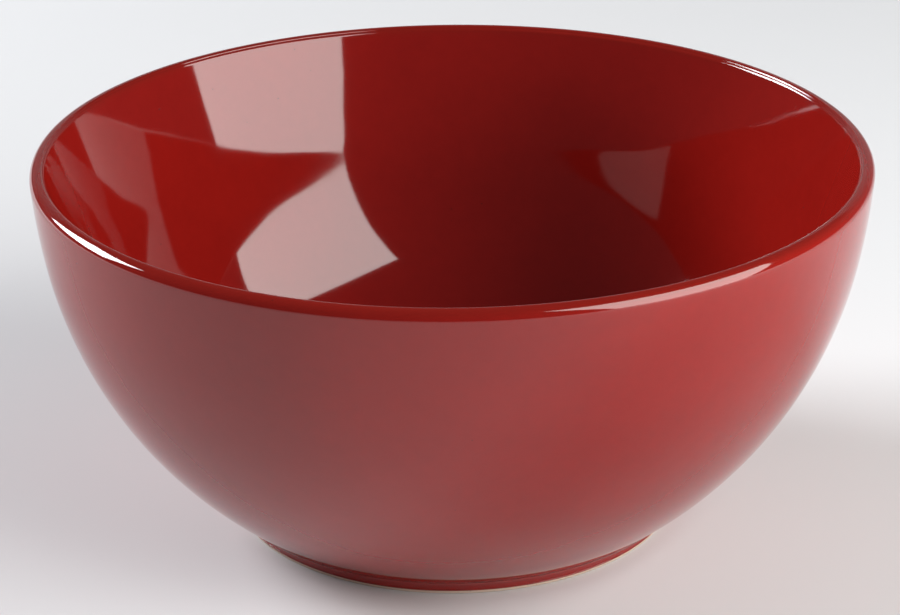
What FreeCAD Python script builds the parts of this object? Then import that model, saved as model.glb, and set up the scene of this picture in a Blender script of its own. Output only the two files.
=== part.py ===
# A deep round serving bowl in red glazed stoneware, 230 mm across its lip.
#
# The bowl is thrown as one wall and floor. A low ring of the same clay is luted under it as its
# foot. Glaze covers all but the lowest band of the foot: over the wall it is part of the bowl's own
# thickness, and on the foot ring and in the recess it is a coat of its own that ends in a line.
#
# Millimetres. The origin is the middle of the resting face, +Z is up along the bowl's axis.
# Every piece is turned from a half section in the XZ plane, drawn with its sizes bound to the sheet.
# The bowl's round stretches are drawn as circles, and each is turned as a row of narrow, equally
# wide bands whose corners lie on its circle, which keeps the meshes made from them small.

import FreeCAD
import Part
import Sketcher
import math
import os

doc = FreeCAD.newDocument("glazed_bowl")

# The driving sizes, in millimetres

sizes = doc.addObject("Spreadsheet::Sheet", "sizes")

DRIVING_SIZES = [
    ("rim_diameter", 230, "across the lip, where the wall's outside would meet its top"),
    ("overall_height", 104.5, "resting face to the top of the lip"),
    ("shoulder_depth", 22.2, "top of the lip down to where the round wall straightens"),
    ("shoulder_inset", 2.5, "how far the wall there lies inside the rim"),
    ("upper_curve", 195, "radius of the wall's outside above the shoulder"),
    ("lower_curve", 121, "radius of the wall's outside below the shoulder"),
    ("lip_thickness", 3.8, "wall at the lip"),
    ("lip_outer_share", 0.56, "round of the lip's outer edge, as a share of its thickness"),
    ("lip_inner_share", 0.3, "round of the lip's crisper inner edge, as a share of its thickness"),
    ("flare_depth", 34.5, "top of the lip down to where the inside's straight flare ends"),
    ("flare_inset", 10.2, "how far the inside there lies within its rim"),
    ("inner_curve", 110, "radius of the wall's inside below the flare"),
    ("floor_round", 50, "round that leads the inside wall into the floor"),
    ("floor_thickness", 6.3, "floor between the inside and the recess's ceiling"),
    ("foot_diameter", 124.8, "across the glazed side of the foot"),
    ("foot_height", 3.4, "resting face to the crease under the wall"),
    ("foot_width", 6.3, "width of the foot ring at its resting face"),
    ("foot_edge_ease", 0.5, "bevel worn on both edges of the resting face"),
    ("recess_depth", 5.2, "resting face to the clay ceiling of the recess"),
    ("recess_slope", 1.4, "how far the recess narrows from the resting face to its ceiling"),
    ("glaze", 0.4, "thickness of the glaze coats on the foot and in the recess"),
    ("bare_band", 1.15, "bare clay between the resting face and the glaze"),
]

for row, (alias, number, meaning) in enumerate(DRIVING_SIZES, start=1):
    sizes.set(f"A{row}", meaning)
    sizes.set(f"B{row}", str(number))
    sizes.setAlias(f"B{row}", alias)
doc.recompute()

# How many bands each round stretch is turned in

LOWER_WALL_COUNT = 8
UPPER_WALL_COUNT = 2
OUTER_LIP_COUNT = 3
INNER_LIP_COUNT = 2
INSIDE_WALL_COUNT = 5
FLOOR_ROUND_COUNT = 6

# Places that more than one piece shares, written in the sheet's names

OUTER_RIM = "(sizes.rim_diameter / 2)"
INNER_RIM = "(sizes.rim_diameter / 2 - sizes.lip_thickness)"
SHOULDER = "(sizes.rim_diameter / 2 - sizes.shoulder_inset)"
SHOULDER_HEIGHT = "(sizes.overall_height - sizes.shoulder_depth)"
OUTER_ROUND = "(sizes.lip_outer_share * sizes.lip_thickness)"
INNER_ROUND = "(sizes.lip_inner_share * sizes.lip_thickness)"
FLARE_END = f"({INNER_RIM} - sizes.flare_inset)"
FLARE_END_HEIGHT = "(sizes.overall_height - sizes.flare_depth)"
FLOOR = "(sizes.recess_depth + sizes.floor_thickness)"
FOOT_EDGE = "(sizes.foot_diameter / 2)"
CLAY_FOOT = "(sizes.foot_diameter / 2 - sizes.glaze)"
RECESS_BASE = f"({CLAY_FOOT} - sizes.foot_width)"
SLOPE_SHARE = "(sizes.recess_slope / sizes.recess_depth)"
RECESS_SEAT = f"({RECESS_BASE} - {SLOPE_SHARE} * sizes.foot_height)"
RECESS_TOP = f"({RECESS_BASE} - sizes.recess_slope)"
RECESS_LINE = f"({RECESS_BASE} - {SLOPE_SHARE} * sizes.bare_band)"

# Sketcher's names for the ends of an edge, and for the origin point and the bowl's axis

START_INDEX, END_INDEX = 1, 2
ORIGIN_INDEX, AXIS_INDEX = -1, -2


def value(expression):
    """The number that an expression of the sheet's names stands for now."""
    return float(sizes.evalExpression(expression))


def new_section(label):
    """A body of its own for one piece, with an empty half section on its XZ plane."""
    body = doc.addObject("PartDesign::Body", label)
    body.Label = label
    body.Placement = FreeCAD.Placement()
    section = body.newObject("Sketcher::SketchObject", label + "_section")
    plane = [part for part in body.Origin.OriginFeatures if part.Role == "XZ_Plane"][0]
    section.AttachmentSupport = (plane, [""])
    section.MapMode = "FlatFace"
    return body, section


def line(section, first, second):
    """A straight edge between two (across, high) points."""
    ends = [FreeCAD.Vector(across, high, 0) for across, high in (first, second)]
    return section.addGeometry(Part.LineSegment(*ends), False)


def round_guide(section, centre, first, second):
    """A construction arc about a centre, anticlockwise from the first point to the second."""
    circle = Part.Circle(FreeCAD.Vector(*centre, 0), FreeCAD.Vector(0, 0, 1), math.dist(centre, first))
    return section.addGeometry(Part.ArcOfCircle(circle, *directions(centre, first, second)), True)


def bands(section, guide, centre, first, second, count):
    """Equal straight edges from the start of a guide to its end, with their corners on it."""
    start, finish = directions(centre, first, second)
    reach = math.dist(centre, first)
    turns = [start + (finish - start) * step / count for step in range(count + 1)]
    corners = [(centre[0] + reach * math.cos(turn), centre[1] + reach * math.sin(turn)) for turn in turns]
    edges = [line(section, here, there) for here, there in zip(corners, corners[1:])]
    join(section, (guide, START_INDEX, edges[0], START_INDEX), (guide, END_INDEX, edges[-1], END_INDEX))
    for before, after in zip(edges, edges[1:]):
        join(section, (before, END_INDEX, after, START_INDEX))
        lie_on(section, after, START_INDEX, guide)
        section.addConstraint(Sketcher.Constraint("Equal", before, after))
    return edges


def directions(centre, first, second):
    """The angles at which two points lie about a centre, the second anticlockwise of the first."""
    start, finish = [math.atan2(high - centre[1], across - centre[0]) for across, high in (first, second)]
    return start, start + (finish - start) % math.tau


def point_at(section, place):
    """A construction point."""
    return section.addGeometry(Part.Point(FreeCAD.Vector(*place, 0)), True)


def outline(section, points):
    """Straight edges from point to point, joined in a ring."""
    edges = [line(section, here, there) for here, there in zip(points, points[1:] + points[:1])]
    for before, after in zip(edges, edges[1:] + edges[:1]):
        join(section, (before, END_INDEX, after, START_INDEX))
    return edges


def join(section, *corners):
    """Makes edges meet: each corner is (edge, end, edge, end)."""
    for corner in corners:
        section.addConstraint(Sketcher.Constraint("Coincident", *corner))


def run_on(section, *corners):
    """Makes edges meet without a kink: each corner is (edge, end, edge, end)."""
    for corner in corners:
        section.addConstraint(Sketcher.Constraint("Tangent", *corner))


def lie_on(section, edge, end, carrier):
    """Holds a point on an edge, an axis or the resting face's line."""
    section.addConstraint(Sketcher.Constraint("PointOnObject", edge, end, carrier))


def level(section, *edges):
    """Makes straight edges horizontal."""
    for edge in edges:
        section.addConstraint(Sketcher.Constraint("Horizontal", edge))


def upright(section, *edges):
    """Makes straight edges vertical."""
    for edge in edges:
        section.addConstraint(Sketcher.Constraint("Vertical", edge))


def bind(section, constraint, expression):
    """Adds a size to a section and ties it to the sheet."""
    index = section.addConstraint(constraint)
    section.setExpression(f"Constraints[{index}]", expression)


def hold_across(section, edge, end, expression):
    """Sets how far a point lies from the axis."""
    origin_point = (ORIGIN_INDEX, START_INDEX)
    bind(section, Sketcher.Constraint("DistanceX", *origin_point, edge, end, value(expression)), expression)


def hold_height(section, edge, end, expression):
    """Sets how high a point lies above the resting face."""
    origin_point = (ORIGIN_INDEX, START_INDEX)
    bind(section, Sketcher.Constraint("DistanceY", *origin_point, edge, end, value(expression)), expression)


def hold_point(section, edge, end, across, height):
    """Sets how far a point lies from the axis and how high above the resting face."""
    hold_across(section, edge, end, across)
    hold_height(section, edge, end, height)


def hold_radius(section, edge, expression):
    """Sets the radius of a round edge."""
    bind(section, Sketcher.Constraint("Radius", edge, value(expression)), expression)


def centre_of(low, high, radius):
    """Centre of the circle through two points that bulges away from the axis between them."""
    half_chord = math.dist(low, high) / 2
    reach = math.sqrt(radius**2 - half_chord**2) / (2 * half_chord)
    middle = [(a + b) / 2 for a, b in zip(low, high)]
    return (middle[0] - reach * (high[1] - low[1]), middle[1] + reach * (high[0] - low[0]))


def round_touching(centre, radius, level_at, rise, apart):
    """A round that touches a level line and a circle: its centre, and its touch on each.

    rise is the round's radius, negative where it lies under the line. apart is the distance
    between the centres: the difference of the radii inside the circle, and their sum outside it.
    """
    height = level_at + rise
    middle = (centre[0] + math.sqrt(apart**2 - (height - centre[1]) ** 2), height)
    touch = tuple(a + radius / apart * (b - a) for a, b in zip(centre, middle))
    return middle, touch, (middle[0], level_at)


def round_under_top(corner, radius, lean):
    """A round where a level top meets a side that falls away under it, leaning towards the axis by
    an angle: its centre, and its touch on the top and on the side."""
    reach = radius / math.tan(math.pi / 4 + lean / 2)
    middle = (corner[0] + reach, corner[1] - radius)
    side_touch = (corner[0] - reach * math.sin(lean), corner[1] - reach * math.cos(lean))
    return middle, (middle[0], corner[1]), side_touch


def turn(body, section):
    """Turns a half section once round the bowl's axis."""
    solid = body.newObject("PartDesign::Revolution", body.Label + "_turned")
    solid.Profile = section
    solid.ReferenceAxis = (section, ["V_Axis"])
    solid.Angle = 360
    section.Visibility = False
    doc.recompute()
    return solid


def swept_circle(solid, section, edge, end):
    """Name of the circle on a turned solid that one corner of its section sweeps."""
    corner = section.getPoint(edge, end)
    misses = {}
    for number, candidate in enumerate(solid.Shape.Edges, start=1):
        if not candidate.Degenerated and isinstance(candidate.Curve, Part.Circle):
            circle = candidate.Curve
            misses[f"Edge{number}"] = math.hypot(circle.Radius - corner.x, circle.Center.z - corner.y)
    return min(misses, key=misses.get)


def ease(body, base, section, name, expression, *corners):
    """Bevels the circles that corners of the section sweep, each corner given as (edge, end)."""
    bevel = body.newObject("PartDesign::Chamfer", name)
    bevel.Base = (base, [swept_circle(base, section, *corner) for corner in corners])
    bevel.Size = value(expression)
    bevel.setExpression("Size", expression)
    base.Visibility = False
    doc.recompute()
    return bevel


# Bowl: wall and floor, thrown in one lump. Outside, a round lower wall runs on into a straighter
# one at the shoulder, and a round lip with a crisper inner edge ends it. Inside, a straight flare
# falls from the lip and thickens the wall, which then runs round into a flat floor. Underneath, a
# recess is turned out inside a flat seat for the foot.

bowl, section = new_section("bowl")

foot_corner = (value(FOOT_EDGE), value("sizes.foot_height"))
shoulder = (value(SHOULDER), value(SHOULDER_HEIGHT))
outer_corner = (value(OUTER_RIM), value("sizes.overall_height"))
inner_corner = (value(INNER_RIM), outer_corner[1])
flare_end = (value(FLARE_END), value(FLARE_END_HEIGHT))
floor_height = value(FLOOR)
seat_inside = (value(RECESS_SEAT), foot_corner[1])
ceiling_edge = (value(RECESS_TOP), value("sizes.recess_depth"))

lower_curve = value("sizes.lower_curve")
upper_curve = value("sizes.upper_curve")
inner_curve = value("sizes.inner_curve")
lower_centre = centre_of(foot_corner, shoulder, lower_curve)
upper_centre = centre_of(shoulder, outer_corner, upper_curve)
flare_lean = math.atan2(inner_corner[0] - flare_end[0], inner_corner[1] - flare_end[1])
inside_centre = (
    flare_end[0] - inner_curve * math.cos(flare_lean),
    flare_end[1] + inner_curve * math.sin(flare_lean),
)

outer_round = value(OUTER_ROUND)
inner_round = value(INNER_ROUND)
floor_round = value("sizes.floor_round")
outer_middle, outer_touch, top_outside = round_touching(
    upper_centre, upper_curve, outer_corner[1], -outer_round, upper_curve - outer_round
)
inner_middle, top_inside, flare_top = round_under_top(inner_corner, inner_round, flare_lean)
floor_middle, wall_touch, floor_touch = round_touching(
    inside_centre, inner_curve, floor_height, floor_round, inner_curve - floor_round
)

# Each round stretch as its centre, its two ends and its number of bands, in order up the outside,
# over the lip and down the inside
STRETCHES = {
    "lower_wall": (lower_centre, foot_corner, shoulder, LOWER_WALL_COUNT),
    "upper_wall": (upper_centre, shoulder, outer_touch, UPPER_WALL_COUNT),
    "outer_lip": (outer_middle, outer_touch, top_outside, OUTER_LIP_COUNT),
    "inner_lip": (inner_middle, top_inside, flare_top, INNER_LIP_COUNT),
    "inside_wall": (inside_centre, wall_touch, flare_end, INSIDE_WALL_COUNT),
    "floor_round": (floor_middle, floor_touch, wall_touch, FLOOR_ROUND_COUNT),
}
guides = {name: round_guide(section, *stretch[:3]) for name, stretch in STRETCHES.items()}
for name, stretch in STRETCHES.items():
    bands(section, guides[name], *stretch)

ceiling = line(section, (0, ceiling_edge[1]), ceiling_edge)
recess_side = line(section, ceiling_edge, seat_inside)
seat = line(section, seat_inside, foot_corner)
lip_top = line(section, top_outside, top_inside)
flare = line(section, flare_top, flare_end)
floor = line(section, (0, floor_height), floor_touch)
core = line(section, (0, floor_height), (0, ceiling_edge[1]))

join(section, (ceiling, END_INDEX, recess_side, START_INDEX), (recess_side, END_INDEX, seat, START_INDEX))
join(section, (floor, START_INDEX, core, START_INDEX), (core, END_INDEX, ceiling, START_INDEX))
lie_on(section, floor, START_INDEX, AXIS_INDEX)
lie_on(section, ceiling, START_INDEX, AXIS_INDEX)
level(section, ceiling, seat, lip_top, floor)

join(section, (seat, END_INDEX, guides["lower_wall"], START_INDEX))
join(section, (guides["lower_wall"], END_INDEX, guides["upper_wall"], START_INDEX))
run_on(
    section,
    (guides["upper_wall"], END_INDEX, guides["outer_lip"], START_INDEX),
    (guides["outer_lip"], END_INDEX, lip_top, START_INDEX),
    (lip_top, END_INDEX, guides["inner_lip"], START_INDEX),
    (guides["inner_lip"], END_INDEX, flare, START_INDEX),
    (flare, END_INDEX, guides["inside_wall"], END_INDEX),
    (guides["inside_wall"], START_INDEX, guides["floor_round"], END_INDEX),
    (guides["floor_round"], START_INDEX, floor, END_INDEX),
)

hold_height(section, ceiling, START_INDEX, "sizes.recess_depth")
hold_across(section, ceiling, END_INDEX, RECESS_TOP)
hold_across(section, seat, START_INDEX, RECESS_SEAT)
hold_point(section, seat, END_INDEX, FOOT_EDGE, "sizes.foot_height")
hold_point(section, guides["lower_wall"], END_INDEX, SHOULDER, SHOULDER_HEIGHT)
hold_height(section, lip_top, START_INDEX, "sizes.overall_height")
hold_point(section, flare, END_INDEX, FLARE_END, FLARE_END_HEIGHT)
hold_height(section, floor, START_INDEX, FLOOR)

# The corners that the lip's two rounds take off
for side, corner, across in [
    (guides["upper_wall"], outer_corner, OUTER_RIM),
    (flare, inner_corner, INNER_RIM),
]:
    place = point_at(section, corner)
    lie_on(section, place, START_INDEX, side)
    hold_point(section, place, START_INDEX, across, "sizes.overall_height")

for guide, radius in [
    ("lower_wall", "sizes.lower_curve"),
    ("upper_wall", "sizes.upper_curve"),
    ("outer_lip", OUTER_ROUND),
    ("inner_lip", INNER_ROUND),
    ("inside_wall", "sizes.inner_curve"),
    ("floor_round", "sizes.floor_round"),
]:
    hold_radius(section, guides[guide], radius)

turn(bowl, section)

# Foot ring: a low ring of bare clay luted under the bowl's seat. Its outer side is upright, its
# inner side slopes in line with the recess, and both edges of the resting face are worn.

foot_ring, section = new_section("foot_ring")

base_outside = (value(CLAY_FOOT), 0)
base_inside = (value(RECESS_BASE), 0)
clay_corner = (base_outside[0], foot_corner[1])

ring_corners = [base_inside, base_outside, clay_corner, seat_inside]
rest, outer_side, joint, inner_side = outline(section, ring_corners)
level(section, joint)
upright(section, outer_side)
lie_on(section, rest, START_INDEX, ORIGIN_INDEX)
lie_on(section, rest, END_INDEX, ORIGIN_INDEX)
hold_across(section, rest, START_INDEX, RECESS_BASE)
hold_across(section, rest, END_INDEX, CLAY_FOOT)
hold_height(section, joint, START_INDEX, "sizes.foot_height")
hold_across(section, joint, END_INDEX, RECESS_SEAT)

ring = turn(foot_ring, section)
ease(foot_ring, ring, section, "worn_edges", "sizes.foot_edge_ease", (rest, START_INDEX), (rest, END_INDEX))

# Foot glaze: the end of the outside coat, a thin band round the foot ring from the crease down to
# the glaze line.

foot_glaze, section = new_section("foot_glaze")

band_height = value("sizes.bare_band")
band_corners = [(clay_corner[0], band_height), (foot_corner[0], band_height), foot_corner, clay_corner]
glaze_line, coat_side, coat_top, clay_side = outline(section, band_corners)
level(section, glaze_line, coat_top)
upright(section, coat_side, clay_side)
hold_height(section, glaze_line, START_INDEX, "sizes.bare_band")
hold_across(section, glaze_line, START_INDEX, CLAY_FOOT)
hold_height(section, coat_side, END_INDEX, "sizes.foot_height")
hold_across(section, coat_side, END_INDEX, FOOT_EDGE)

turn(foot_glaze, section)

# Recess glaze: the coat over the recess's ceiling and down its sloping side to the glaze line.

recess_glaze, section = new_section("recess_glaze")

coat_face = ceiling_edge[1] - value("sizes.glaze")
line_outside = (value(RECESS_LINE), band_height)
line_inside = (line_outside[0] - value("sizes.glaze"), band_height)
face_edge = (ceiling_edge[0] - value("sizes.glaze"), coat_face)

glazed_corners = [ceiling_edge, line_outside, line_inside, face_edge, (0, coat_face), (0, ceiling_edge[1])]
clay_slope, glaze_line, coat_slope, coat_ceiling, core, clay_ceiling = outline(section, glazed_corners)
level(section, glaze_line, coat_ceiling, clay_ceiling)
upright(section, core)
lie_on(section, core, START_INDEX, AXIS_INDEX)
section.addConstraint(Sketcher.Constraint("Parallel", clay_slope, coat_slope))
hold_height(section, clay_slope, START_INDEX, "sizes.recess_depth")
hold_across(section, clay_slope, START_INDEX, RECESS_TOP)
hold_across(section, clay_slope, END_INDEX, RECESS_LINE)
hold_height(section, clay_slope, END_INDEX, "sizes.bare_band")
hold_across(section, glaze_line, END_INDEX, f"{RECESS_LINE} - sizes.glaze")
hold_height(section, coat_ceiling, END_INDEX, "sizes.recess_depth - sizes.glaze")

turn(recess_glaze, section)

# Every object is sound before any piece is written

PIECES = [bowl, foot_ring, foot_glaze, recess_glaze]

doc.recompute()
for item in doc.Objects:
    if "Invalid" in item.State or "Error" in item.State:
        raise RuntimeError(f"{item.Label} did not recompute: {item.State}")
    if item.TypeId == "Sketcher::SketchObject" and not item.FullyConstrained:
        raise RuntimeError(f"{item.Label} has a free size")
for piece in PIECES:
    if piece.Shape.isNull() or not piece.Shape.isValid() or len(piece.Shape.Solids) != 1:
        raise RuntimeError(f"{piece.Label} is not one sound solid")

os.makedirs("parts", exist_ok=True)
for piece in PIECES:
    piece.Shape.exportStep(f"parts/{piece.Label}.step")
    print(f"{piece.Label}: {piece.Shape.Volume:.0f} cubic mm")
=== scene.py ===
import math

import bpy
import numpy as np
from mathutils import Matrix, Vector


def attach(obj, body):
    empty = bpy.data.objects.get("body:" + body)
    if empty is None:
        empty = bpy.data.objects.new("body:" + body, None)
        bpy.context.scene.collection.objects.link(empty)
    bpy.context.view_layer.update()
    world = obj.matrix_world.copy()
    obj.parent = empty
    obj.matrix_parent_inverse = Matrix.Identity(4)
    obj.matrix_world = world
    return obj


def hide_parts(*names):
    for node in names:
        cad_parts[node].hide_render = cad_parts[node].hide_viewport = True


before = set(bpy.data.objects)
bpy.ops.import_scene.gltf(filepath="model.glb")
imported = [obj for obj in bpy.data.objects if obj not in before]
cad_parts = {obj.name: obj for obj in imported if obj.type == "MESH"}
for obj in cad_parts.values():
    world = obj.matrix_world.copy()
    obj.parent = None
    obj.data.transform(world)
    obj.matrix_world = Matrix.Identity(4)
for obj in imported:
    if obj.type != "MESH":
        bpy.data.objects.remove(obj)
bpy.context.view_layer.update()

# The bowl: wall and floor thrown in one piece on the wheel, then dipped in a thick red glaze that
# is part of the wall's thickness here. The inside flares down from a crisp inner lip, swells softly
# and rounds into the floor; the outside is nearly half a sphere that steepens towards the lip.

TINY = 0.000001                   # points closer than this are one point
LIP_TOP = 0.1045
RIM = 0.1150                      # where the outside would meet the top
INNER_RIM = 0.1112                # where the inside would meet the top
OUTER_LIP_ROUND = 0.0028
INNER_LIP_ROUND = 0.0009
SHOULDER = (0.1125, 0.0823)       # (radius, height) where the round outside starts to steepen
UPPER_CURVE = 0.195
LOWER_CURVE = 0.121
CREASE = (0.0624, 0.0034)         # where the wall meets the foot
FLOOR = 0.0115
FLARE_END = (0.1010, 0.0700)      # where the straight flare under the lip ends
SWELLING = 0.0019                 # full size of the soft wave in the inside
SWELLING_HEIGHT = 0.0732          # where it stands in furthest
SWELLING_REACH_UP = 0.0613
SWELLING_REACH_DOWN = 0.0376
INNER_CURVE = 0.110               # radius of the inside below the flare
FLOOR_ROUND = 0.050               # round that leads the inside into the floor
SEAT_INSIDE = 0.05478             # inner edge of the face that the foot ring sits on
CEILING = (0.0543, 0.0052)        # edge of the recess's ceiling
AROUND = 384                      # steps round the axis

RING_DEPTH, RING_PITCH = 0.000010, 0.0190
FINE_RING_DEPTH, FINE_RING_PITCH = 0.0000012, 0.0071
OVAL = 0.000040                   # how far the wall is out of round
THREE_SIDED = 0.000018
LIP_CLEAR, LIP_FADE = 0.002, 0.014          # no marks this near the lip, and how they fade in
FOOT_CLEAR, FOOT_FADE = 0.006, 0.020        # the same above the table

RED = (0.285, 0.0095, 0.0065)
DEEP_RED = (0.205, 0.0060, 0.0045)
EDGE_RED = (0.205, 0.0105, 0.0060)          # browner, where glaze has run thin off an edge
SPECK = (0.06, 0.006, 0.005)
SPECK_SCALE = 210.0               # cells to the metre that may hold a speck
SPECK_SIZE = 0.045                # in cells
SPECK_PICK = 0.86                 # a cell holds one if its random number is over this
GLAZE_RELIEF = 0.0000010


def arc(centre, radius, start, end, count):
    """Points round a centre: centre + radius * (cos a, sin a), with a going evenly from start to
    end, in radians."""
    angle = np.linspace(start, end, count)
    return np.stack([centre[0] + radius * np.cos(angle), centre[1] + radius * np.sin(angle)], 1)


def straight(first, second, count):
    """Points on a line: first + share * (second - first), with share going evenly from 0 to 1."""
    share = np.linspace(0, 1, count)[:, None]
    return np.array(first) + share * (np.array(second) - np.array(first))


def centre_left_of(low, high, radius):
    """Centre of the circle through two points of a wall that bulges away from the axis: the
    middle of their chord, moved square to it towards the axis by sqrt(radius^2 - half chord^2)."""
    chord = math.dist(low, high)
    reach = math.sqrt(radius**2 - chord**2 / 4) / chord
    return ((low[0] + high[0]) / 2 - reach * (high[1] - low[1]),
            (low[1] + high[1]) / 2 + reach * (high[0] - low[0]))


def bearing(centre, point):
    """Angle of a point as seen from a centre: atan2(rise, run)."""
    return math.atan2(point[1] - centre[1], point[0] - centre[0])


def joined(stretches):
    """Stretches of a section in one list, without the points that two of them share."""
    kept = [stretches[0]]
    for stretch in stretches[1:]:
        kept.append(stretch[1:] if math.dist(kept[-1][-1], stretch[0]) < TINY else stretch)
    return np.concatenate(kept)


def swelling(high):
    """How far the inside stands in from its plain line at some heights: half of SWELLING times
    (1 + cos(pi * share of its reach)), less what that gives at the lip; under its lower end this
    eases back to nothing at the floor by the same cosine."""
    def wave(height):
        reach = np.where(height > SWELLING_HEIGHT, SWELLING_REACH_UP, SWELLING_REACH_DOWN)
        share = np.clip(np.abs(height - SWELLING_HEIGHT) / reach, 0, 1)
        return SWELLING / 2 * (1 + np.cos(math.pi * share))
    low_end = SWELLING_HEIGHT - SWELLING_REACH_DOWN
    ease = np.clip((high - FLOOR) / (low_end - FLOOR), 0, 1)
    return wave(high) - wave(LIP_TOP) * (1 - np.cos(math.pi * ease)) / 2


def bowl_section():
    """The bowl's half section as (radius, height) points, from the middle of the floor up the
    inside, over the lip, down the outside and back under to the middle of the recess. A round that
    runs on into a wider one has its centre off the other's by the difference of their radii."""
    lean = math.atan2(INNER_RIM - FLARE_END[0], LIP_TOP - FLARE_END[1])
    reach = INNER_LIP_ROUND * math.tan(math.pi / 4 - lean / 2)
    inner_lip = (INNER_RIM + reach, LIP_TOP - INNER_LIP_ROUND)
    flare_top = (inner_lip[0] - INNER_LIP_ROUND * math.cos(lean),
                 inner_lip[1] + INNER_LIP_ROUND * math.sin(lean))
    inner_centre = (FLARE_END[0] - INNER_CURVE * math.cos(lean),
                    FLARE_END[1] + INNER_CURVE * math.sin(lean))
    rise = inner_centre[1] - FLOOR - FLOOR_ROUND
    apart = INNER_CURVE - FLOOR_ROUND
    floor_centre = (inner_centre[0] + math.sqrt(apart**2 - rise**2), FLOOR + FLOOR_ROUND)
    touch = bearing(inner_centre, floor_centre)
    upper_centre = centre_left_of(SHOULDER, (RIM, LIP_TOP), UPPER_CURVE)
    lower_centre = centre_left_of(CREASE, SHOULDER, LOWER_CURVE)
    outer_height = LIP_TOP - OUTER_LIP_ROUND
    gap = UPPER_CURVE - OUTER_LIP_ROUND
    outer_lip = (upper_centre[0] + math.sqrt(gap**2 - (outer_height - upper_centre[1])**2),
                 outer_height)
    outer_lean = bearing(upper_centre, outer_lip)
    inside = joined([
        straight((0, FLOOR), (floor_centre[0], FLOOR), 26),
        arc(floor_centre, FLOOR_ROUND, -math.pi / 2, touch, 34),
        arc(inner_centre, INNER_CURVE, touch, -lean, 44),
        straight(FLARE_END, flare_top, 40),
    ])
    inside[:, 0] -= swelling(inside[:, 1])
    return joined([
        inside,
        arc(inner_lip, INNER_LIP_ROUND, math.pi - lean, math.pi / 2, 10),
        arc(outer_lip, OUTER_LIP_ROUND, math.pi / 2, outer_lean, 14),
        arc(upper_centre, UPPER_CURVE, outer_lean, bearing(upper_centre, SHOULDER), 16),
        arc(lower_centre, LOWER_CURVE, bearing(lower_centre, SHOULDER),
            bearing(lower_centre, CREASE), 64),
        straight(CREASE, (SEAT_INSIDE, CREASE[1]), 3),
        straight((SEAT_INSIDE, CREASE[1]), CEILING, 2),
        straight(CEILING, (0, CEILING[1]), 6),
    ])


def turned(name, section, swell=None):
    """A solid of revolution: point (i, k) is (r_i cos t_k, r_i sin t_k, z_i), with t_k going evenly
    round the axis and (r, z) moved along the section's own normal by swell(r, z, t). Ends on the
    axis become one point each; any other section is closed on itself. The faces look outward
    whichever way the section runs round the area it closes in."""
    turn = np.linspace(0, 2 * math.pi, AROUND, endpoint=False)[None, :]
    across, high = section[:, :1], section[:, 1:]
    if swell is not None:
        along = np.gradient(section, axis=0)
        along /= np.linalg.norm(along, axis=1, keepdims=True)
        move = swell(across, high, turn)
        across, high = across + move * along[:, 1:], high - move * along[:, :1]
    across, high = (np.broadcast_to(side, (len(section), AROUND)) for side in (across, high))
    points = np.stack([across * np.cos(turn), across * np.sin(turn), high], 2)
    poles = section[0, 0] < TINY and section[-1, 0] < TINY
    if poles:
        points = points[1:-1]
    rows = np.arange(len(points) * AROUND).reshape(-1, AROUND)
    points = points.reshape(-1, 3)
    if not poles:
        rows = np.concatenate([rows, rows[:1]])
    beside = np.roll(rows, -1, axis=1)
    quads = np.stack([rows[:-1], beside[:-1], beside[1:], rows[1:]], 2).reshape(-1, 4)
    fans = np.empty((0, 3), int)
    if poles:
        first, last = np.full(AROUND, len(points)), np.full(AROUND, len(points) + 1)
        points = np.concatenate([points, [[0, 0, section[0, 1]], [0, 0, section[-1, 1]]]])
        fans = np.concatenate([np.stack([first, beside[0], rows[0]], 1),
                               np.stack([last, rows[-1], beside[-1]], 1)])
    after = np.roll(section, -1, axis=0)
    area = np.sum(section[:, 0] * after[:, 1] - after[:, 0] * section[:, 1]) / 2
    way = 1 if area > 0 else -1
    mesh = bpy.data.meshes.new(name)
    mesh.from_pydata(points.tolist(), [], quads[:, ::way].tolist() + fans[:, ::way].tolist())
    mesh.polygons.foreach_set("use_smooth", [True] * len(mesh.polygons))
    piece = bpy.data.objects.new(name, mesh)
    bpy.context.scene.collection.objects.link(piece)
    return piece


def soft_step(share):
    """Share held between 0 and 1, then 3 * share^2 - 2 * share^3."""
    share = np.clip(share, 0, 1)
    return share**2 * (3 - 2 * share)


def throwing_marks(across, high, turn):
    """What the wheel and the glaze leave: two sets of shallow rings, each depth * sin(2 * pi *
    height / pitch) with a phase that sways round the bowl, and a wall out of round by OVAL *
    cos(2 * turn) and THREE_SIDED * cos(3 * turn), all fading out towards the lip and the foot."""
    fade = (soft_step((LIP_TOP - LIP_CLEAR - high) / LIP_FADE)
            * soft_step((high - FOOT_CLEAR) / FOOT_FADE))
    rings = RING_DEPTH * np.sin(2 * math.pi * high / RING_PITCH + 0.9 * np.sin(turn + 0.6))
    fine = (FINE_RING_DEPTH
            * np.sin(2 * math.pi * high / FINE_RING_PITCH + 1.3 * np.sin(2 * turn + 2.1)))
    oval = OVAL * np.cos(2 * turn + 0.8) + THREE_SIDED * np.cos(3 * turn + 2.0)
    return fade * (rings + fine + oval)


class Wire:
    """One value in a material. Arithmetic on wires adds the Math nodes that work it out."""

    def __init__(self, shade, socket):
        self.shade, self.socket = shade, socket

    def _math(self, operation, first, second):
        return self.shade.node("ShaderNodeMath", {"operation": operation}, {0: first, 1: second})

    def __add__(self, other):
        return self._math("ADD", self, other)

    __radd__ = __add__

    def __sub__(self, other):
        return self._math("SUBTRACT", self, other)

    def __rsub__(self, other):
        return self._math("SUBTRACT", other, self)

    def __mul__(self, other):
        return self._math("MULTIPLY", self, other)

    __rmul__ = __mul__

    def __lt__(self, other):
        return self._math("LESS_THAN", self, other)

    def __gt__(self, other):
        return self._math("GREATER_THAN", self, other)


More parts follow.
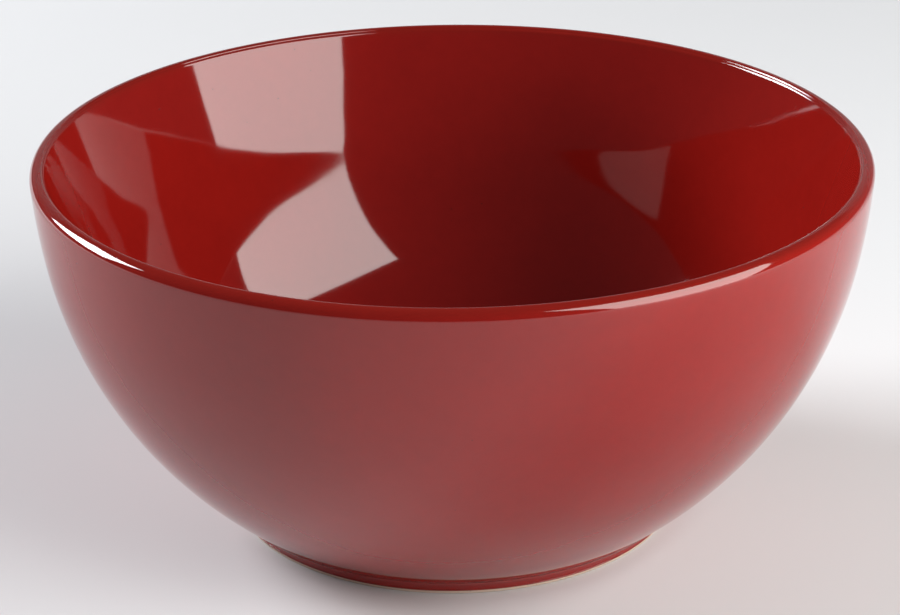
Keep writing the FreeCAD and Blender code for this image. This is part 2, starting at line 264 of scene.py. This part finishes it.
class Shade:
    """One material and its nodes."""

    def __init__(self, name):
        self.material = bpy.data.materials.new(name)
        self.material.use_nodes = True
        self.nodes, self.links = self.material.node_tree.nodes, self.material.node_tree.links
        self.nodes.clear()

    def node(self, kind, settings={}, values={}, output=0):
        """Any node: its settings first, then its sockets' values or wires; gives the wire of one
        output, where it has any."""
        made = self.nodes.new(kind)
        for setting, given in settings.items():
            setattr(made, setting, given)
        for socket, given in values.items():
            if isinstance(given, Wire):
                self.links.new(given.socket, made.inputs[socket])
            else:
                made.inputs[socket].default_value = given
        return Wire(self, made.outputs[output]) if made.outputs else None

    def blend(self, share, first, second):
        """A colour between two: first + share * (second - first). Inputs 6 and 7 and output 2 are
        the Mix node's colours, which have the same names as its numbers."""
        return self.node("ShaderNodeMix", {"data_type": "RGBA"}, {0: share, 6: first, 7: second}, 2)

    def noise(self, place, scale, detail=2.0, roughness=0.5):
        """Soft noise between 0 and 1, with about scale features to the metre."""
        return self.node("ShaderNodeTexNoise", {}, {
            "Vector": place, "Scale": scale, "Detail": detail, "Roughness": roughness})

    def finish(self, **sockets):
        """Ends the material in a Principled BSDF with these sockets."""
        values = {name.replace("_", " "): given for name, given in sockets.items()}
        surface = self.node("ShaderNodeBsdfPrincipled", {}, values)
        self.node("ShaderNodeOutputMaterial", {}, {"Surface": surface})
        return self.material


def opaque(colour):
    """The colour with a full alpha beside it, as sockets want it."""
    return (*colour, 1.0)


def red_glaze(name):
    """Thick gloss glaze: clouds and a fine mottle in the red, a browner red where the glaze has
    run off an edge, a few tiny dark specks, and the faint orange peel of a fired surface."""
    shade = Shade(name)
    place = shade.node("ShaderNodeTexCoord", output="Object")
    clouds = shade.noise(place, 14.0, 3.0)
    mottle = shade.noise(place, 260.0, 3.0, 0.6)
    depth = clouds * 0.8 + mottle * 0.2
    share = shade.node("ShaderNodeMapRange", {}, {
        "Value": depth, "From Min": 0.25, "From Max": 0.75})
    red = shade.blend(share, opaque(RED), opaque(DEEP_RED))
    thin = shade.node("ShaderNodeAttribute", {"attribute_name": "thin_glaze"}, output="Fac")
    red = shade.blend(thin * (0.55 + 0.6 * mottle), red, opaque(EDGE_RED))
    cells = {"Vector": place, "Scale": SPECK_SCALE}
    near = shade.node("ShaderNodeTexVoronoi", {"feature": "F1"}, cells, "Distance")
    pick = shade.node("ShaderNodeTexVoronoi", {"feature": "F1"}, cells, "Color")
    chosen = shade.node("ShaderNodeSeparateColor", {}, {"Color": pick}, "Red") > SPECK_PICK
    speck = (near < SPECK_SIZE) * chosen
    red = shade.blend(speck * 0.75, red, opaque(SPECK))
    peel = shade.noise(place, 300.0, 1.0) + 3.0 * shade.noise(place, 90.0, 1.0)
    relief = shade.node("ShaderNodeBump", {}, {
        "Strength": 1.0, "Distance": GLAZE_RELIEF, "Height": peel - 4.0 * speck})
    return shade.finish(Base_Color=red, Roughness=0.035 + 0.03 * mottle + 0.2 * speck,
                        Normal=relief, IOR=1.58)


def mark_thin_glaze(piece, height, reach):
    """Gives each point how thin its glaze is: one minus its distance up or down from a height over
    the reach of the thin glaze there, never under 0."""
    place = np.empty(len(piece.data.vertices) * 3)
    piece.data.vertices.foreach_get("co", place)
    high = place.reshape(-1, 3)[:, 2]
    thin = np.clip(1 - np.abs(high - height) / reach, 0, 1)
    layer = piece.data.attributes.new("thin_glaze", "FLOAT", "POINT")
    layer.data.foreach_set("value", thin.astype(np.float32))


bowl = turned("glazed_bowl", bowl_section(), throwing_marks)
mark_thin_glaze(bowl, LIP_TOP, OUTER_LIP_ROUND)
bowl.data.materials.append(red_glaze("red_glaze_bowl"))
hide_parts("bowl")
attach(bowl, "root")

# The foot ring: a low ring of the same clay, luted under the wall and turned true on the wheel.
# Its resting face and lowest band are left bare, because glaze there would stick to the kiln shelf.

CLAY_FOOT = 0.0620                # radius of the ring's outer side
FOOT_INSIDE = 0.0557              # radius of its inner side at the table
FOOT_SLOPE = (FOOT_INSIDE - CEILING[0]) / CEILING[1]
BARE_BAND = 0.00115               # height of the glaze line
EDGE_EASE = 0.0008
TOOL_DEPTH, TOOL_PITCH = 0.000012, 0.0009
CLAY = (0.60, 0.47, 0.38)
DARK_CLAY = (0.44, 0.32, 0.24)
GROG = (0.20, 0.13, 0.09)
CLAY_RELIEF = 0.00006


def foot_section():
    """The foot ring's closed section: up the sloping inside, along the seat, down the outside and
    back along the resting face, with both resting edges rounded."""
    seat_inside = (FOOT_INSIDE - FOOT_SLOPE * CREASE[1], CREASE[1])
    return np.concatenate([
        straight((CLAY_FOOT - EDGE_EASE, 0), (FOOT_INSIDE + EDGE_EASE, 0), 16)[:-1],
        arc((FOOT_INSIDE + EDGE_EASE, EDGE_EASE), EDGE_EASE, -math.pi / 2, -math.pi, 7)[:-1],
        straight((FOOT_INSIDE, EDGE_EASE), seat_inside, 8)[:-1],
        straight(seat_inside, (CLAY_FOOT, CREASE[1]), 4)[:-1],
        straight((CLAY_FOOT, CREASE[1]), (CLAY_FOOT, EDGE_EASE), 8)[:-1],
        arc((CLAY_FOOT - EDGE_EASE, EDGE_EASE), EDGE_EASE, 0, -math.pi / 2, 7)[:-1],
    ])


def turning_marks(across, high, turn):
    """Fine grooves of the turning tool: depth * (1 + sin(2 * pi * (radius + height) / pitch + a
    slow sway)). The ring's section runs clockwise, so that they all go into the clay."""
    sway = 0.4 * np.sin(turn)
    return TOOL_DEPTH * (1 + np.sin(2 * math.pi * (across + high) / TOOL_PITCH + sway))


def bare_clay(name):
    """Fired stoneware without glaze: pale, matt, with a fine sandy grain, darker grog and a warm
    flush that comes and goes round the foot."""
    shade = Shade(name)
    place = shade.node("ShaderNodeTexCoord", output="Object")
    grain = shade.noise(place, 1900.0, 4.0, 0.7)
    flush = shade.noise(place, 45.0, 2.0)
    tone = shade.blend(0.25 * grain + 0.4 * flush, opaque(CLAY), opaque(DARK_CLAY))
    grit = shade.node("ShaderNodeTexVoronoi", {"feature": "F1"},
                      {"Vector": place, "Scale": 900.0}, "Distance")
    tone = shade.blend((grit < 0.16) * 0.5, tone, opaque(GROG))
    relief = shade.node("ShaderNodeBump", {}, {
        "Strength": 0.8, "Distance": CLAY_RELIEF, "Height": grain})
    return shade.finish(Base_Color=tone, Roughness=0.72 + 0.2 * grain, Normal=relief, IOR=1.45)


foot = turned("foot_ring_clay", foot_section(), turning_marks)
foot.data.materials.append(bare_clay("bare_clay_foot"))
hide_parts("foot_ring")
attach(foot, "root")

# The end of the outside glaze: the coat on the foot ring, from the crease, where the glaze pools in
# a small fillet, down to the line where the potter wiped it off. There it ends in a rounded roll.

GLAZE = 0.0004                    # thickness of the coat
FILLET = 0.0040
ROLL = 0.00028                    # round of the roll at the glaze line
ROLL_PROUD = 0.00004              # how far the roll stands out past the coat's face
FACE_PROUD, FACE_RISE = 0.00003, 0.0003     # the same where the face begins, this far above it
BITE = 0.00002                    # how deep the coat's inside lies in the clay
WALL_BITE = (-0.0004, 0.0006)     # from the fillet's top to where the coat ends in the wall
INSIDE_RISE = 0.0009              # how far its inside goes up past the crease
THIN_REACH = 0.0009               # how far from the glaze line the glaze is thin
WANDER = 0.00003
WANDER_TOP, WANDER_FADE = 0.0026, 0.0012    # where the line's wandering ends, and how it fades
SWAY = 0.00001


def foot_glaze_section():
    """The coat's closed section: down its inside on the clay, round the roll at the glaze line,
    up its face, and through the fillet to the wall, which it enters. The fillet's centre lies
    FILLET from the face and LOWER_CURVE + FILLET from the centre of the wall's round."""
    lower_centre = centre_left_of(CREASE, SHOULDER, LOWER_CURVE)
    outside = CLAY_FOOT + GLAZE
    gap = LOWER_CURVE + FILLET
    across = outside + FILLET
    fillet_centre = (across, lower_centre[1] - math.sqrt(gap**2 - (across - lower_centre[0])**2))
    touch = bearing(fillet_centre, lower_centre)
    fillet = arc(fillet_centre, FILLET, math.pi, touch, 14)
    inside = CLAY_FOOT - BITE
    roll_height = BARE_BAND + ROLL
    inside_wall = fillet[-1] + np.array(WALL_BITE)
    return np.concatenate([
        straight((inside, CREASE[1] + INSIDE_RISE), (inside, roll_height), 6)[:-1],
        arc((outside - ROLL + ROLL_PROUD, roll_height), ROLL, -math.pi * 0.75, 0, 9),
        straight((outside + FACE_PROUD, roll_height + FACE_RISE), fillet[0], 5)[:-1],
        fillet,
        inside_wall[None, :],
    ])


def wandering_line(across, high, turn):
    """The roll swells and shrinks round the foot by WANDER * sin(7 * turn), less and less above the
    line, because it was wiped by hand; the whole coat sways by SWAY * sin(3 * turn)."""
    low = np.clip((WANDER_TOP - high) / WANDER_FADE, 0, 1)
    return SWAY * np.sin(3 * turn + 0.4) + low * WANDER * np.sin(7 * turn + 2.0)


foot_glaze = turned("foot_glaze_coat", foot_glaze_section(), wandering_line)
mark_thin_glaze(foot_glaze, BARE_BAND, THIN_REACH)
foot_glaze.data.materials.append(red_glaze("red_glaze_foot"))
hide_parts("foot_glaze")
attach(foot_glaze, "root")

# The glaze in the recess under the bowl, on the ceiling and down the foot ring's inner side to a
# glaze line of its own. It is the same dip, and pools in the corner.

RECESS_FILLET = 0.0012


def recess_glaze_section():
    """The coat's section from the middle of its lower face, out along the ceiling, round the
    corner, down the foot ring's inner side, round a roll as wide as the coat and back up on the
    clay. The corner's round starts RECESS_FILLET * tan(half the corner's turn) before it."""
    face = CEILING[1] - GLAZE
    roll_height = BARE_BAND + GLAZE / 2
    line_across = FOOT_INSIDE - FOOT_SLOPE * BARE_BAND
    side_lean = math.atan(FOOT_SLOPE)
    corner = (FOOT_INSIDE - FOOT_SLOPE * face - GLAZE, face)
    turn_back = RECESS_FILLET * math.tan((math.pi / 2 - side_lean) / 2)
    centre = (corner[0] - turn_back, face - RECESS_FILLET)
    foot_of_side = (line_across - GLAZE, roll_height)
    return joined([
        straight((0, face), (centre[0], face), 24),
        arc(centre, RECESS_FILLET, math.pi / 2, side_lean, 12),
        straight((centre[0] + RECESS_FILLET * math.cos(side_lean),
                  centre[1] + RECESS_FILLET * math.sin(side_lean)), foot_of_side, 5),
        arc((line_across - GLAZE / 2, roll_height), GLAZE / 2, -math.pi, 0, 9),
        straight((line_across, roll_height), CEILING, 5),
        straight(CEILING, (0, CEILING[1]), 6),
    ])


recess_glaze = turned("recess_glaze_coat", recess_glaze_section())
mark_thin_glaze(recess_glaze, BARE_BAND, THIN_REACH)
recess_glaze.data.materials.append(red_glaze("red_glaze_recess"))
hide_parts("recess_glaze")
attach(recess_glaze, "root")

# The studio: a sheet of pale, matt, slightly cloudy paper that lies under the bowl and sweeps up
# behind it, so that no edge of it shows.

PAPER = (0.73, 0.74, 0.75)
PAPER_GREY = (0.69, 0.685, 0.69)
SWEEP_START, SWEEP_RADIUS, SWEEP_HEIGHT = 2.2, 0.6, 1.8
PAPER_HALF_WIDTH, PAPER_FRONT = 5.0, -4.0


def paper_sheet():
    """The sheet: a section that is flat, then a quarter circle, then upright, carried sideways."""
    section = np.concatenate([
        straight((PAPER_FRONT, 0), (SWEEP_START, 0), 12)[:-1],
        arc((SWEEP_START, SWEEP_RADIUS), SWEEP_RADIUS, -math.pi / 2, 0, 24)[:-1],
        straight((SWEEP_START + SWEEP_RADIUS, SWEEP_RADIUS),
                 (SWEEP_START + SWEEP_RADIUS, SWEEP_HEIGHT), 6),
    ])
    sides = np.array([-PAPER_HALF_WIDTH, PAPER_HALF_WIDTH])
    count = len(section)
    points = np.stack([np.repeat(sides, count), np.tile(section[:, 0], 2),
                       np.tile(section[:, 1], 2)], 1)
    step = np.arange(count - 1)
    faces = np.stack([step, step + count, step + count + 1, step + 1], 1)
    mesh = bpy.data.meshes.new("paper")
    mesh.from_pydata(points.tolist(), [], faces.tolist())
    mesh.polygons.foreach_set("use_smooth", [True] * len(mesh.polygons))
    piece = bpy.data.objects.new("paper", mesh)
    bpy.context.scene.collection.objects.link(piece)
    return piece


paper = paper_sheet()
paper_shade = Shade("paper")
paper_place = paper_shade.node("ShaderNodeTexCoord", output="Object")
paper_tone = paper_shade.blend(paper_shade.noise(paper_place, 3.0) * 0.1,
                               opaque(PAPER), opaque(PAPER_GREY))
paper.data.materials.append(paper_shade.finish(Base_Color=paper_tone, Roughness=0.9, IOR=1.3))

# The light: a tall warm softbox at the right in front that leans over the bowl, a cooler one across
# from it at the left behind, and a dim room. The first shows as the two pale patches inside the
# bowl.

KEY_PLACE = Vector((0.961, -0.508, 0.441))
KEY_OUT = Vector((0.582, -0.404, 0.706))    # which way its back looks
KEY_SIZE = (1.02, 1.20)
KEY_RADIANCE = 6.2
KEY_COLOUR = (1.0, 0.985, 0.955)
KEY_ROLL = -3.3                             # degrees
LEFT_PLACE = Vector((-1.715, 0.818, 1.00))
LEFT_AIM = Vector((0, 0, 0.06))
LEFT_SIZE = (1.05, 0.85)
LEFT_RADIANCE = 21.2
LEFT_COLOUR = (0.99, 0.995, 1.02)
ROOM_COLOUR, ROOM_STRENGTH = (0.9, 0.92, 1.0), 0.06


def softbox(name, place, aim, size, radiance, colour, roll=0.0):
    """A panel of light of even brightness that faces its aim, rolled clockwise in degrees as seen
    from there. Its power is the wanted radiance times pi times its area."""
    lamp = bpy.data.lights.new(name, "AREA")
    lamp.shape = "RECTANGLE"
    lamp.size, lamp.size_y = size
    lamp.energy = radiance * math.pi * size[0] * size[1]
    lamp.color = colour
    panel = bpy.data.objects.new(name, lamp)
    facing = (place - aim).normalized().to_track_quat("Z", "Y").to_matrix().to_4x4()
    panel.matrix_world = (Matrix.Translation(place) @ facing
                          @ Matrix.Rotation(math.radians(roll), 4, "Z"))
    bpy.context.scene.collection.objects.link(panel)


softbox("key", KEY_PLACE, KEY_PLACE - KEY_OUT, KEY_SIZE, KEY_RADIANCE, KEY_COLOUR, KEY_ROLL)
softbox("left", LEFT_PLACE, LEFT_AIM, LEFT_SIZE, LEFT_RADIANCE, LEFT_COLOUR)

room = bpy.data.worlds.new("room")
room.use_nodes = True
room_light = room.node_tree.nodes["Background"].inputs
room_light["Color"].default_value = opaque(ROOM_COLOUR)
room_light["Strength"].default_value = ROOM_STRENGTH
bpy.context.scene.world = room

# The camera: a long lens from in front and above, looking down 23 degrees and rolled by half a
# degree. The bowl fills the picture.

CAMERA_PLACE = (0.0, -0.7471, 0.3740)
CAMERA_DOWN, CAMERA_ROLL = 22.98, -0.52     # degrees
LENS, SENSOR = 116.0, 36.0                  # millimetres
LENS_SHIFT = -0.0038                        # in picture widths

camera_data = bpy.data.cameras.new("camera")
camera_data.lens, camera_data.sensor_width = LENS, SENSOR
camera_data.shift_x = LENS_SHIFT
camera = bpy.data.objects.new("camera", camera_data)
camera.matrix_world = (Matrix.Translation(CAMERA_PLACE)
                       @ Matrix.Rotation(math.radians(90 - CAMERA_DOWN), 4, "X")
                       @ Matrix.Rotation(math.radians(CAMERA_ROLL), 4, "Z"))
bpy.context.scene.collection.objects.link(camera)
bpy.context.scene.camera = camera
bpy.context.scene.view_settings.view_transform = "Standard"
